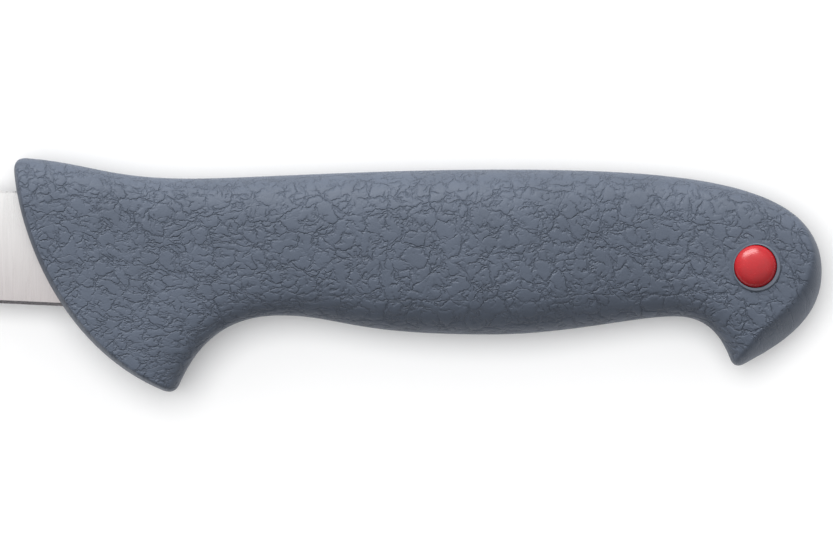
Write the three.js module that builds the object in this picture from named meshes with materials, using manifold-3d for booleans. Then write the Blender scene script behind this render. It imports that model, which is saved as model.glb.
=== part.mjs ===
// Bleeding knife lying on its side: a spear-pointed stamped blade with a hidden tang, a hard handle core
// moulded round the tang, a soft grained skin with guard and tail hook, and two push-in colour buttons.
// Millimetres. x runs from the front corner of the grip to the tail, y from cutting edge to back,
// z away from the blade's middle plane, until the finished knife is set down on its lowest side.
import * as THREE from 'three';
import { mergeVertices } from 'three/addons/utils/BufferGeometryUtils.js';
import Module from 'manifold-3d';

const wasm = await Module();
wasm.setup();

// Clearance between pieces that are moulded or pushed against each other
const GAP = 0.3;

// Grip outline: stations from the front corner or ahead of the tail, heights from the blade's axis
const HANDLE_LENGTH = 138.4;
const CORNER_RISE = 15.4;
const CORNER_ROUND = 2.4;
const GUARD_AT = 27.7;
const GUARD_DROP = 25.3;
const GUARD_ROUND = 2.2;
const NECK_AT = 30.2;
const NECK_RISE = 11.75;
const CROWN_AT = 83.3;
const CROWN_RISE = 13.3;
const TAIL_DROP = 4.2;
const HOOK_SETBACK = 15;
const HOOK_DROP = 20.9;
const HOOK_ROUND = 2;
const HEEL_SETBACK = 25;
const HEEL_DROP = 11.85;
const BELLY_AT = 81.6;
const BELLY_DROP = 14.95;
const FINGER_AT = 45.6;
const FINGER_DROP = 11.7;

// Grip thickness across the blade plane, and how square its sections are (2 is an ellipse)
const GUARD_THICKNESS = 20.8;
const NECK_THICKNESS = 17;
const SWELL_THICKNESS = 21;
const HEEL_THICKNESS = 15.4;
const TAIL_THICKNESS = 17.2;
const TAIL_SETBACK = 5;
const FRONT_BULGE = 0.8;
const GUARD_SQUARENESS = 4.4;
const BARREL_SQUARENESS = 2.7;
const TAIL_SQUARENESS = 3;
const FRONT_SQUARENESS = 2.2;
const SKIN_WALL = 2.2;

// Slope behind the tail's ridge: wide and crisp above the hook, narrower and round towards the back
const RIDGE_WIDTH = 2.8;
const RIDGE_NARROW = 1.5;
const RIDGE_START = [-0.05, 0.25];
const RIDGE_FADE = [0.3, 0.85];
const RIDGE_SQUARENESS = 1.5;
const RIDGE_ROUNDNESS = 2.4;

// How the ends' curves fade into the barrel, and how much of the back belongs to the tail
const FRONT_FADE = 5;
const TAIL_FADE = 10;
const TAIL_EDGE_SHARE = 0.2;

// Blade in front of the grip
const BLADE_LENGTH = 160;
const BLADE_THICKNESS = 2.4;
const SPINE_RISE = 9.57;
const EDGE_DROP = 9.7;
const EDGE_TAPER = THREE.MathUtils.degToRad(2.6);
const POINT_LENGTH = 46;
const POINT_RISE = 2.6;
const SPINE_PULL = 0.55;
const EDGE_PULL = 0.6;
const GRIND_HEIGHT = 11;
const EDGE_BEVEL = 0.9;
const EDGE_LAND = 0.5;
const EDGE_WIDTH = 0.04;
const SPINE_CHAMFER = 0.25;
const TIP_BLUNT = 0.15;

// Blade inside the grip
const GRIND_END = 12;
const GRIND_LAP = 1;
const ROOT_DEPTH = 17;
const TANG_HEIGHT = 13;
const TANG_CENTRE = -0.4;
const TANG_END_WALL = 17;
const ANCHOR_HOLES = 3;
const ANCHOR_HOLE_DIAMETER = 6;
const ANCHOR_MARGIN = 14;

// Colour buttons and the collar that holds them
const BUTTON_SETBACK = 11.5;
const BUTTON_DROP = 3.25;
const BUTTON_DIAMETER = 7.4;
const BUTTON_DOME = 2;
const BUTTON_RIM = 0.3;
const BUTTON_STEM_DIAMETER = 4.6;
const BUTTON_STEM_LENGTH = 6;
const BUTTON_STEM_SLIT = 0.8;
const BUTTON_SLIT_DEPTH = 3.6;
const BUTTON_BEAD = 0.12;
const BUTTON_BEAD_LENGTH = 1.4;
const BUTTON_LEAD = 0.5;
const BUTTON_SIDE_GAP = 0.2;
const COLLAR_WALL = 0.5;
const COLLAR_PROUD = 0.3;
const SEAT_DEPTH = 1.2;

// Facets, and how finely curves are searched
const SKIN_STEPS = [60, 13];
const CORE_STEPS = [32, 8];
const END_CROWDING = 1;
const CURVE_STEPS = 120;
const ROUND_STEPS = 8;
const CIRCLE_STEPS = 56;
const DOME_STEPS = 8;
const POINT_STEPS = 12;
const SEARCH_STEPS = 120;
const HALVINGS = 40;
const WELD = 1e-5;

const STEEL = { color: 0xdcdbda, roughness: 0.35, metalness: 1 };
const HARD_GREY = { color: 0x4d535f, roughness: 0.5, metalness: 0 };
const SOFT_GREY = { color: 0x646c78, roughness: 0.7, metalness: 0 };
const RED = { color: 0xc13e43, roughness: 0.25, metalness: 0 };

/** A closed solid from a geometry, with its shared corners merged. */
function solidOf(geometry) {
  const bare = geometry.index ? geometry.toNonIndexed() : geometry.clone();
  bare.deleteAttribute('normal');
  bare.deleteAttribute('uv');
  const merged = mergeVertices(bare, WELD);
  return new wasm.Manifold(new wasm.Mesh({
    numProp: 3,
    vertProperties: new Float32Array(merged.attributes.position.array),
    triVerts: new Uint32Array(merged.index.array),
  }));
}

/** A geometry with flat faces from a solid. */
function geometryOf(solid) {
  const { vertProperties, triVerts } = solid.getMesh();
  const geometry = new THREE.BufferGeometry();
  geometry.setAttribute('position', new THREE.BufferAttribute(new Float32Array(vertProperties), 3));
  geometry.setIndex(new THREE.BufferAttribute(new Uint32Array(triVerts), 1));
  const faceted = geometry.toNonIndexed();
  faceted.computeVertexNormals();
  return faceted;
}

function piece(name, solid, finish) {
  const mesh = new THREE.Mesh(geometryOf(solid), new THREE.MeshStandardMaterial(finish));
  mesh.name = name;
  return mesh;
}

/** A round bar along z, from one height to another. */
function bar(radius, from, to, x = 0, y = 0) {
  const geometry = new THREE.CylinderGeometry(radius, radius, to - from, CIRCLE_STEPS);
  geometry.rotateX(Math.PI / 2);
  geometry.translate(x, y, (from + to) / 2);
  return solidOf(geometry);
}

const point = (x, y) => new THREE.Vector2(x, y);
const toward = (degrees) => {
  const angle = THREE.MathUtils.degToRad(degrees);
  return point(Math.cos(angle), Math.sin(angle));
};

/** A smooth stretch of outline: it leaves along one heading, arrives along another, pulled so far by each. */
function stretch(from, heading, pull, to, arrival, arrivalPull) {
  const reach = from.distanceTo(to);
  return new THREE.CubicBezierCurve(
    from,
    from.clone().addScaledVector(toward(heading), pull * reach),
    to.clone().addScaledVector(toward(arrival), -arrivalPull * reach),
    to,
  );
}

function joined(...curves) {
  const path = new THREE.CurvePath();
  curves.forEach((curve) => path.add(curve));
  return path;
}

// Grip outline: the front edge, the back with the tail, and the belly meet at three rounded corners
const corner = point(0, CORNER_RISE);
const guardTip = point(GUARD_AT, -GUARD_DROP);
const neck = point(NECK_AT, NECK_RISE);
const crown = point(CROWN_AT, CROWN_RISE);
const tail = point(HANDLE_LENGTH, -TAIL_DROP);
const hookTip = point(HANDLE_LENGTH - HOOK_SETBACK, -HOOK_DROP);
const heel = point(HANDLE_LENGTH - HEEL_SETBACK, -HEEL_DROP);
const belly = point(BELLY_AT, -BELLY_DROP);
const finger = point(FINGER_AT, -FINGER_DROP);

const frontEdge = joined(stretch(guardTip, 161.4, 0.42, corner, 90, 0.24));
const backAndTail = joined(
  stretch(corner, -3, 0.42, neck, 0, 0.49),
  stretch(neck, 0, 0.18, crown, 0, 0.41),
  stretch(crown, 0, 0.58, tail, -90, 0.26),
  stretch(tail, -90, 0.42, hookTip, -151, 0.28),
);
const bellyEdge = joined(
  stretch(guardTip, 70, 0.39, finger, 0, 0.43),
  stretch(finger, 0, 0.29, belly, 0, 0.68),
  stretch(belly, 0, 0.42, heel, 0, 0.23),
  stretch(heel, 0, 0.54, hookTip, -68, 0.22),
);

/** Points of one side between the middles of the rounded corners at its two ends. */
function roundedSide(side, before, startRound, after, endRound) {
  const length = side.getLength();
  const start = side.getPoint(startRound / length);
  const end = side.getPoint(1 - endRound / length);
  const entry = new THREE.QuadraticBezierCurve(before, side.getPoint(0), start);
  const exit = new THREE.QuadraticBezierCurve(end, side.getPoint(1), after);
  const points = [];
  for (let i = 0; i < ROUND_STEPS; i++) {
    points.push(entry.getPoint(0.5 + 0.5 * i / ROUND_STEPS));
  }
  for (let i = 0; i < CURVE_STEPS; i++) {
    const along = THREE.MathUtils.lerp(startRound, length - endRound, i / CURVE_STEPS);
    points.push(side.getPoint(along / length));
  }
  for (let i = 0; i <= ROUND_STEPS; i++) {
    points.push(exit.getPoint(0.5 * i / ROUND_STEPS));
  }
  return points;
}

/** A chain of points that can be read at any share of its length. */
class Chain {
  constructor(points) {
    this.points = points;
    this.reach = [0];
    for (let i = 1; i < points.length; i++) {
      this.reach.push(this.reach[i - 1] + points[i].distanceTo(points[i - 1]));
    }
    this.length = this.reach.at(-1);
  }

  at(share) {
    const goal = THREE.MathUtils.clamp(share, 0, 1) * this.length;
    let low = 0;
    let high = this.reach.length - 1;
    while (high - low > 1) {
      const half = (low + high) >> 1;
      if (this.reach[half] < goal) low = half;
      else high = half;
    }
    const part = (goal - this.reach[low]) / (this.reach[high] - this.reach[low]);
    return this.points[low].clone().lerp(this.points[high], part);
  }

  from(startShare, endShare) {
    const points = [];
    for (let i = 0; i <= 2 * CURVE_STEPS; i++) {
      points.push(this.at(THREE.MathUtils.lerp(startShare, endShare, i / (2 * CURVE_STEPS))));
    }
    return new Chain(points);
  }
}

const inFrom = (side, distance) => side.getPoint(distance / side.getLength());
const backFrom = (side, distance) => side.getPoint(1 - distance / side.getLength());

const frontChain = new Chain(roundedSide(
  frontEdge, inFrom(bellyEdge, GUARD_ROUND), GUARD_ROUND, inFrom(backAndTail, CORNER_ROUND), CORNER_ROUND));
const backChain = new Chain(roundedSide(
  backAndTail, backFrom(frontEdge, CORNER_ROUND), CORNER_ROUND, backFrom(bellyEdge, HOOK_ROUND), HOOK_ROUND));
const bellyChain = new Chain(roundedSide(
  bellyEdge, inFrom(frontEdge, GUARD_ROUND), GUARD_ROUND, backFrom(backAndTail, HOOK_ROUND), HOOK_ROUND));

// The tail's own edge starts on the shoulder of the tail, and runs round to the hook
const topChain = backChain.from(0, 1 - TAIL_EDGE_SHARE);
const tailChain = backChain.from(1, 1 - TAIL_EDGE_SHARE);

/** How far an end's curve bows out of the straight line between its two ends. */
const bow = (chain, up) => chain.at(up).sub(chain.at(0).lerp(chain.at(1), up));

/** Place in the blade plane: along 0 to 1 from front edge to tail, up 0 to 1 from belly to back. */
function planePoint(along, up) {
  return bellyChain.at(along).lerp(topChain.at(along), up)
    .addScaledVector(bow(frontChain, up), (1 - along) ** FRONT_FADE)
    .addScaledVector(bow(tailChain, up), along ** TAIL_FADE);
}

/** A value that eases from one station's value to the next. */
function eased(stations, at) {
  for (let i = 1; i < stations.length; i++) {
    const [from, value] = stations[i - 1];
    const [to, next] = stations[i];
    if (at <= to) return THREE.MathUtils.lerp(value, next, THREE.MathUtils.smoothstep(at, from, to));
  }
  return stations.at(-1)[1];
}

const share = (station) => station / HANDLE_LENGTH;
const THICKNESS_STATIONS = [
  [0, GUARD_THICKNESS],
  [share(NECK_AT), NECK_THICKNESS],
  [share(BELLY_AT), SWELL_THICKNESS],
  [1 - share(HEEL_SETBACK), HEEL_THICKNESS],
  [1 - share(TAIL_SETBACK), TAIL_THICKNESS],
];
const SQUARENESS_STATIONS = [
  [0, GUARD_SQUARENESS],
  [share(FINGER_AT), BARREL_SQUARENESS],
  [1 - share(HEEL_SETBACK), BARREL_SQUARENESS],
  [1 - share(TAIL_SETBACK), TAIL_SQUARENESS],
];

/** Rise of a rounded edge, 0 at the edge and 1 from the end of the rounding on. */
function edgeRise(distance, reach, squareness) {
  const inward = THREE.MathUtils.clamp(1 - distance / reach, 0, 1);
  return (1 - inward ** squareness) ** (1 / squareness);
}

/** Strength of the tail's ridge at a share of the height, from 0 where it has faded to 1. */
function ridgeStrength(up) {
  return THREE.MathUtils.smoothstep(up, ...RIDGE_START) * (1 - THREE.MathUtils.smoothstep(up, ...RIDGE_FADE));
}

/** Half thickness of the grip, less an inset, at shares of its length and height. */
function halfThickness(along, up, inset = 0) {
  const span = THREE.MathUtils.lerp(bellyChain.length, topChain.length, up);
  const full = eased(THICKNESS_STATIONS, along) / 2 - inset;
  const squareness = eased(SQUARENESS_STATIONS, along);
  const section = (1 - Math.abs(2 * up - 1) ** squareness) ** (1 / squareness);
  const front = edgeRise(along * span, FRONT_BULGE, FRONT_SQUARENESS);
  const strength = ridgeStrength(up);
  const slope = THREE.MathUtils.lerp(RIDGE_NARROW, RIDGE_WIDTH, strength);
  const ridge = edgeRise(
    (1 - along) * span, slope, THREE.MathUtils.lerp(RIDGE_ROUNDNESS, RIDGE_SQUARENESS, strength));
  return full * section * front * ridge;
}

/** A share of a distance, drawn in from both ends by an inset. */
const drawnIn = (share, inset, distance) => THREE.MathUtils.lerp(inset, distance - inset, share) / distance;

/** Shares from 0 to 1 that crowd together at both ends. */
function crowded(i, steps) {
  const even = i / steps;
  return THREE.MathUtils.lerp(even, (1 - Math.cos(Math.PI * even)) / 2, END_CROWDING);
}

/** The whole grip as a closed pillow, drawn in by an inset on every side. */
function gripSolid(inset, [longSteps, highSteps]) {
  const positions = [];
  const corners = [[], []];
  for (let i = 0; i <= longSteps; i++) {
    for (let j = 0; j <= highSteps; j++) {
      const along = crowded(i, longSteps);
      const up = crowded(j, highSteps);
      const length = THREE.MathUtils.lerp(bellyChain.length, topChain.length, up);
      const height = bellyChain.at(along).distanceTo(topChain.at(along));
      const place = planePoint(drawnIn(along, inset, length), drawnIn(up, inset, height));
      const rim = i === 0 || j === 0 || i === longSteps || j === highSteps;
      const half = rim ? 0 : halfThickness(along, up, inset);
      corners[0].push(new THREE.Vector3(place.x, place.y, half));
      corners[1].push(new THREE.Vector3(place.x, place.y, -half));
    }
  }
  const row = highSteps + 1;
  const add = (side, ...places) => places.forEach((at) => positions.push(...corners[side][at].toArray()));
  for (let i = 0; i < longSteps; i++) {
    for (let j = 0; j < highSteps; j++) {
      const [a, b, c, d] = [i * row + j, (i + 1) * row + j, (i + 1) * row + j + 1, i * row + j + 1];
      add(0, a, b, c, a, c, d);
      add(1, a, c, b, a, d, c);
    }
  }
  const geometry = new THREE.BufferGeometry();
  geometry.setAttribute('position', new THREE.BufferAttribute(new Float32Array(positions), 3));
  return solidOf(geometry);
}

/** Half thickness of the grip over a point of the blade plane. */
function surfaceHeight(place) {
  let best = { distance: Infinity, height: 0 };
  for (let i = 1; i < SEARCH_STEPS; i++) {
    for (let j = 1; j < SEARCH_STEPS; j++) {
      const [along, up] = [i / SEARCH_STEPS, j / SEARCH_STEPS];
      const distance = planePoint(along, up).distanceTo(place);
      if (distance < best.distance) best = { distance, height: halfThickness(along, up) };
    }
  }
  return best.height;
}

// Blade profile: a straight back and a tapering edge that both curve to the point
const shoulderX = -(BLADE_LENGTH - POINT_LENGTH);
const edgeAt = (x) => -EDGE_DROP + Math.tan(EDGE_TAPER) * -x;
const shoulderHeight = SPINE_RISE - edgeAt(shoulderX);
const tip = point(-BLADE_LENGTH, POINT_RISE);
const spinePoint = new THREE.QuadraticBezierCurve(
  point(shoulderX, SPINE_RISE), point(shoulderX - SPINE_PULL * POINT_LENGTH, SPINE_RISE), tip);
const edgePoint = new THREE.QuadraticBezierCurve(
  point(shoulderX, edgeAt(shoulderX)),
  point(shoulderX - EDGE_PULL * POINT_LENGTH, edgeAt(shoulderX - EDGE_PULL * POINT_LENGTH)),
  tip,
);

/** Height of a profile curve at a station, found by halving. */
function heightAt(curve, x) {
  let low = 0;
  let high = 1;
  for (let i = 0; i < HALVINGS; i++) {
    const middle = (low + high) / 2;
    if (curve.getPoint(middle).x > x) low = middle;
    else high = middle;
  }
  return curve.getPoint(low).y;
}

/** One cross-section of the ground blade, as corners in y and z, grown outward for a slot. */
function bladeSection(spine, edge, grow) {
  const thin = Math.min(1, (spine - edge) / shoulderHeight);
  const side = BLADE_THICKNESS / 2 * thin + grow;
  const land = EDGE_LAND / 2 * thin + grow;
  const keen = EDGE_WIDTH / 2 * thin + grow;
  const chamfer = SPINE_CHAMFER * thin;
  const grind = edge + Math.min(GRIND_HEIGHT, shoulderHeight - 2 * SPINE_CHAMFER) * thin;
  const bevel = edge + EDGE_BEVEL * thin;
  return [
    [spine + grow, -side + chamfer], [spine + grow, side - chamfer], [spine + grow - chamfer, side],
    [grind, side], [bevel, land], [edge - grow, keen], [edge - grow, -keen],
    [bevel, -land], [grind, -side], [spine + grow - chamfer, -side],
  ];
}

/** The ground blade from its point to its end inside the grip. */
function groundBlade(grow) {
  const sections = [];
  const addSection = (x, spine, edge) => sections.push([x, bladeSection(spine, edge, grow)]);
  addSection(GRIND_END, SPINE_RISE, edgeAt(GRIND_END));
  // The flats have a seam ahead of the grip, so that each exposed flat is a face of its own
  addSection(-GRIND_END, SPINE_RISE, edgeAt(-GRIND_END));
  addSection(shoulderX, SPINE_RISE, edgeAt(shoulderX));
  for (let i = 1; i < POINT_STEPS; i++) {
    const x = shoulderX - POINT_LENGTH * Math.sin(Math.PI / 2 * i / POINT_STEPS);
    addSection(x, heightAt(spinePoint, x), heightAt(edgePoint, x));
  }
  addSection(-BLADE_LENGTH, POINT_RISE + TIP_BLUNT, POINT_RISE - TIP_BLUNT);

  const count = sections[0][1].length;
  const positions = [];
  const cornerAt = (i, j) => [sections[i][0], ...sections[i][1][j % count]];
  const face = (...places) => places.forEach(([i, j]) => positions.push(...cornerAt(i, j)));
  for (let i = 0; i < sections.length - 1; i++) {
    for (let j = 0; j < count; j++) {
      face([i, j], [i + 1, j + 1], [i, j + 1]);
      face([i, j], [i + 1, j], [i + 1, j + 1]);
    }
  }
  const last = sections.length - 1;
  for (let j = 1; j < count - 1; j++) {
    face([0, 0], [0, j], [0, j + 1]);
    face([last, 0], [last, j + 1], [last, j]);
  }
  const geometry = new THREE.BufferGeometry();
  geometry.setAttribute('position', new THREE.BufferAttribute(new Float32Array(positions), 3));
  return solidOf(geometry);
}

// Colour button seat on the grip
const button = point(HANDLE_LENGTH - BUTTON_SETBACK, -BUTTON_DROP);
const seatRadius = BUTTON_DIAMETER / 2 + BUTTON_SIDE_GAP;
const collarRadius = seatRadius + COLLAR_WALL;
const collarTop = surfaceHeight(button) + COLLAR_PROUD;
const seatHeight = collarTop - SEAT_DEPTH;

// Tang and its anchoring holes
const tangEnd = button.x - collarRadius - TANG_END_WALL;
const anchors = Array.from({ length: ANCHOR_HOLES }, (_, i) => {
  const from = ROOT_DEPTH + ANCHOR_MARGIN;
  const to = tangEnd - ANCHOR_MARGIN;
  return point(THREE.MathUtils.lerp(from, to, i / (ANCHOR_HOLES - 1)), TANG_CENTRE);
});

/** The unground root and the tang, one plate with a round end. */
function tangPlate(grow) {
  const top = TANG_CENTRE + TANG_HEIGHT / 2 + grow;
  const bottom = TANG_CENTRE - TANG_HEIGHT / 2 - grow;
  const start = GRIND_END - GRIND_LAP - grow;
  const shoulder = ROOT_DEPTH + grow;
  const round = TANG_HEIGHT / 2 + grow;
  const shape = new THREE.Shape();
  shape.moveTo(start, SPINE_RISE - SPINE_CHAMFER + grow);
  shape.lineTo(start, -EDGE_DROP + EDGE_BEVEL - grow);
  shape.lineTo(shoulder, -EDGE_DROP + EDGE_BEVEL - grow);
  shape.lineTo(shoulder, bottom);
  shape.absarc(tangEnd - TANG_HEIGHT / 2, TANG_CENTRE, round, -Math.PI / 2, Math.PI / 2, false);
  shape.lineTo(shoulder, top);
  shape.lineTo(shoulder, SPINE_RISE - SPINE_CHAMFER + grow);
  shape.closePath();
  const depth = BLADE_THICKNESS + 2 * grow;
  const geometry = new THREE.ExtrudeGeometry(shape, { depth, bevelEnabled: false, curveSegments: ROUND_STEPS });
  geometry.translate(0, 0, -depth / 2);
  return solidOf(geometry);
}

const bladeSlot = groundBlade(GAP).add(tangPlate(GAP));

function blade() {
  const reach = BLADE_THICKNESS;
  const holes = anchors.map((at) => bar(ANCHOR_HOLE_DIAMETER / 2, -reach, reach, at.x, at.y));
  return holes.reduce((solid, hole) => solid.subtract(hole), groundBlade(0).add(tangPlate(0)));
}

function handleCore() {
  const pegReach = BLADE_THICKNESS / 2 + 2 * GAP;
  const pegs = anchors.map((at) => bar(ANCHOR_HOLE_DIAMETER / 2 - GAP, -pegReach, pegReach, at.x, at.y));
  const collar = bar(collarRadius, -collarTop, collarTop, button.x, button.y);
  const bore = bar(BUTTON_STEM_DIAMETER / 2 + GAP, -2 * collarTop, 2 * collarTop, button.x, button.y);
  const seats = [1, -1].map((side) => bar(
    seatRadius, Math.min(side * seatHeight, 2 * side * collarTop),
    Math.max(side * seatHeight, 2 * side * collarTop), button.x, button.y));
  const moulded = gripSolid(SKIN_WALL + GAP, CORE_STEPS).subtract(bladeSlot);
  const pegged = pegs.reduce((solid, peg) => solid.add(peg), moulded).add(collar);
  return seats.reduce((solid, seat) => solid.subtract(seat), pegged).subtract(bore);
}

function gripSkin() {
  const reach = 2 * collarTop;
  const collarHole = bar(collarRadius + GAP, -reach, reach, button.x, button.y);
  return gripSolid(0, SKIN_STEPS)
    .subtract(gripSolid(SKIN_WALL, CORE_STEPS))
    .subtract(bladeSlot)
    .subtract(collarHole);
}

/** A push-in button standing on its seat along +z: domed head, split stem with a holding bead. */
function buttonSolid() {
  const radius = BUTTON_DIAMETER / 2;
  const stem = BUTTON_STEM_DIAMETER / 2;
  const end = -BUTTON_STEM_LENGTH;
  const profile = [
    point(0, end),
    point(stem - BUTTON_LEAD / 2, end),
    point(stem + BUTTON_BEAD, end + BUTTON_LEAD),
    point(stem + BUTTON_BEAD, end + BUTTON_BEAD_LENGTH - BUTTON_LEAD),
    point(stem, end + BUTTON_BEAD_LENGTH),
    point(stem, 0),
    point(radius, 0),
  ];
  for (let i = 0; i < DOME_STEPS; i++) {
    const angle = Math.PI / 2 * i / DOME_STEPS;
    profile.push(point(radius * Math.cos(angle), BUTTON_RIM + BUTTON_DOME * Math.sin(angle)));
  }
  profile.push(point(0, BUTTON_RIM + BUTTON_DOME));
  const turned = new THREE.LatheGeometry(profile, CIRCLE_STEPS);
  turned.rotateX(Math.PI / 2);
  const slit = new THREE.BoxGeometry(BUTTON_STEM_SLIT, 2 * BUTTON_DIAMETER, 2 * BUTTON_SLIT_DEPTH);
  slit.translate(0, 0, end);
  return solidOf(turned).subtract(solidOf(slit));
}

function buttonPiece(name, side) {
  const mesh = piece(name, buttonSolid(), RED);
  mesh.position.set(button.x, button.y, side * (seatHeight + GAP));
  mesh.rotation.y = side > 0 ? 0 : Math.PI;
  return mesh;
}

const knife = new THREE.Group();
knife.add(
  piece('blade', blade(), STEEL),
  piece('handle_core', handleCore(), HARD_GREY),
  piece('grip_skin', gripSkin(), SOFT_GREY),
  buttonPiece('colour_button_front', 1),
  buttonPiece('colour_button_back', -1),
);

// Set down on its side, with the middle of its footprint at the origin
const bounds = new THREE.Box3().setFromObject(knife, true);
const middle = bounds.getCenter(new THREE.Vector3());
knife.position.set(-middle.x, -middle.y, -bounds.min.z);

export default knife;
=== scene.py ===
"""Bleeding knife, dressed: leather-grained grip, smooth collars, red colour buttons, cross-ground blade.

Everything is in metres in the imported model's frame: +X from the point to the tail, +Y from the cutting
edge to the back, +Z up. Shape sizes are in millimetres in the grip's own frame, whose origin is the
front corner's station on the blade's axis, in the blade's middle plane.
"""

import logging
import math
from collections.abc import Callable, Sequence
from dataclasses import dataclass, field
from enum import Enum

import bpy
import numpy as np
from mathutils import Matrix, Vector


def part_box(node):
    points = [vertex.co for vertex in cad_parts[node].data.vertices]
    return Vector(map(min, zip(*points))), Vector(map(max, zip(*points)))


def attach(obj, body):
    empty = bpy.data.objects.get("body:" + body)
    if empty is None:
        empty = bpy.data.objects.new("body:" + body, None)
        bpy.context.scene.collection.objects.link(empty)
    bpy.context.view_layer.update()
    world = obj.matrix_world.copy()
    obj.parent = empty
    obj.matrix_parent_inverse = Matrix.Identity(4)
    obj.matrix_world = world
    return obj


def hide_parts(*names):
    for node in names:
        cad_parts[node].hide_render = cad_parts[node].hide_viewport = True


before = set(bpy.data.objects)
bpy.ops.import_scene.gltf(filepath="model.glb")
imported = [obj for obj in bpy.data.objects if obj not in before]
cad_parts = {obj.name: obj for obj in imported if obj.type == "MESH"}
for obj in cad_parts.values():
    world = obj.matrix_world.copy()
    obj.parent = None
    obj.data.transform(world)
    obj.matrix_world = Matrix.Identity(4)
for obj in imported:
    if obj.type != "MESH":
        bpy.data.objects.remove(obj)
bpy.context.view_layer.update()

log = logging.getLogger("knife")

MM = 0.001
PHOTO_WIDTH_PX = 833
PHOTO_HEIGHT_PX = 555
NOISE_LOW = 0.3
NOISE_MIDDLE = 0.5
NOISE_HIGH = 0.7
WHITE = (1.0, 1.0, 1.0, 1.0)


class Body(str, Enum):
    """The bodies that pieces ride on."""

    KNIFE = "knife"
    FRONT_BUTTON = "front_button"
    BACK_BUTTON = "back_button"


class Node(str, Enum):
    """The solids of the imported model."""

    BLADE = "blade"
    CORE = "handle_core"
    SKIN = "grip_skin"
    FRONT_BUTTON = "colour_button_front"
    BACK_BUTTON = "colour_button_back"


class Slot(str, Enum):
    """The record's material slots."""

    STEEL = "blade_steel"
    HARD = "hard_grey_plastic"
    SOFT = "soft_grey_grip"
    RED = "red_plastic"


class Side(Enum):
    """The two sides of the blade plane."""

    FRONT = 1
    BACK = -1


Socket = bpy.types.NodeSocket
Value = Socket | float | Sequence[float]
Amount = np.ndarray | float
Colour = tuple[float, float, float]
Span = tuple[float, float]
Mesh = tuple[np.ndarray, list[tuple[int, ...]]]


class Graph:
    """Adds nodes to one tree, and joins them."""

    def __init__(self, tree: bpy.types.NodeTree) -> None:
        """Keeps a material's, a world's or a modifier's node tree."""
        self.tree = tree

    def add(
        self, kind: str, inputs: dict[str | int, Value] | None = None, **options: object,
    ) -> bpy.types.Node:
        """Adds one node.

        Args:
            kind: The node's type name.
            inputs: Values or sockets for its inputs, by name or number.
            options: Its own settings.

        Returns:
            The new node.
        """
        node = self.tree.nodes.new(kind)
        for name, option in options.items():
            setattr(node, name, option)
        for name, value in (inputs or {}).items():
            self.put(node.inputs[name], value)
        return node

    def put(self, socket: Socket, value: Value) -> None:
        """Links a socket to an input, or sets the input's own value.

        Args:
            socket: The input.
            value: What it gets.
        """
        if isinstance(value, Socket):
            self.tree.links.new(value, socket)
        else:
            socket.default_value = value

    def math(self, operation: str, *values: Value) -> Socket:
        """Arithmetic on one to three numbers or sockets."""
        return self.add("ShaderNodeMath", dict(enumerate(values)), operation=operation).outputs[0]

    def vector(self, operation: str, *values: Value) -> Socket:
        """Arithmetic on vectors or sockets."""
        return self.add("ShaderNodeVectorMath", dict(enumerate(values)), operation=operation).outputs[0]

    def scaled(self, vector: Value, scale: Value) -> Socket:
        """A vector times a number."""
        return self.add("ShaderNodeVectorMath", {0: vector, "Scale": scale}, operation="SCALE").outputs[0]

    def noise(self, at: Socket, scale: float, detail: float = 2.0, flat: bool = True) -> bpy.types.Node:
        """Soft noise.

        Args:
            at: Where it is read.
            scale: Repeats per unit.
            detail: Finer layers added.
            flat: Whether it reads two coordinates only.

        Returns:
            The noise node.
        """
        dimensions = "2D" if flat else "3D"
        inputs = {"Vector": at, "Scale": scale, "Detail": detail}
        return self.add("ShaderNodeTexNoise", inputs, noise_dimensions=dimensions)

    def edges(self, at: Socket, cell: Value) -> Socket:
        """Distance to the nearest border between irregular cells.

        Args:
            at: Where it is read, in millimetres.
            cell: The cells' size, in millimetres.

        Returns:
            The distance, in millimetres.
        """
        scale = self.math("DIVIDE", 1.0, cell)
        node = self.add(
            "ShaderNodeTexVoronoi", {"Vector": at, "Scale": scale},
            feature="DISTANCE_TO_EDGE", voronoi_dimensions="2D",
        )
        return self.math("MULTIPLY", node.outputs["Distance"], cell)

    def ramp(
        self, value: Value, low: Value, high: Value,
        start: Value = 0.0, end: Value = 1.0, smooth: bool = True,
    ) -> Socket:
        """A step from one value to another.

        Args:
            value: What is read.
            low: Where the step starts.
            high: Where it ends.
            start: The result before the step.
            end: The result after it.
            smooth: Whether the step eases in and out.

        Returns:
            The result.
        """
        inputs = {0: value, 1: low, 2: high, 3: start, 4: end}
        easing = "SMOOTHSTEP" if smooth else "LINEAR"
        return self.add("ShaderNodeMapRange", inputs, interpolation_type=easing).outputs[0]

    def vary(self, noise: Socket, span: Span) -> Socket:
        """Spreads soft noise between two values."""
        return self.ramp(noise, NOISE_LOW, NOISE_HIGH, *span)

    def switch(self, ray: Socket, otherwise: Value, then: Value) -> Socket:
        """One value for rays of a kind, and another for the rest."""
        return self.ramp(ray, 0.0, 1.0, otherwise, then)


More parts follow.
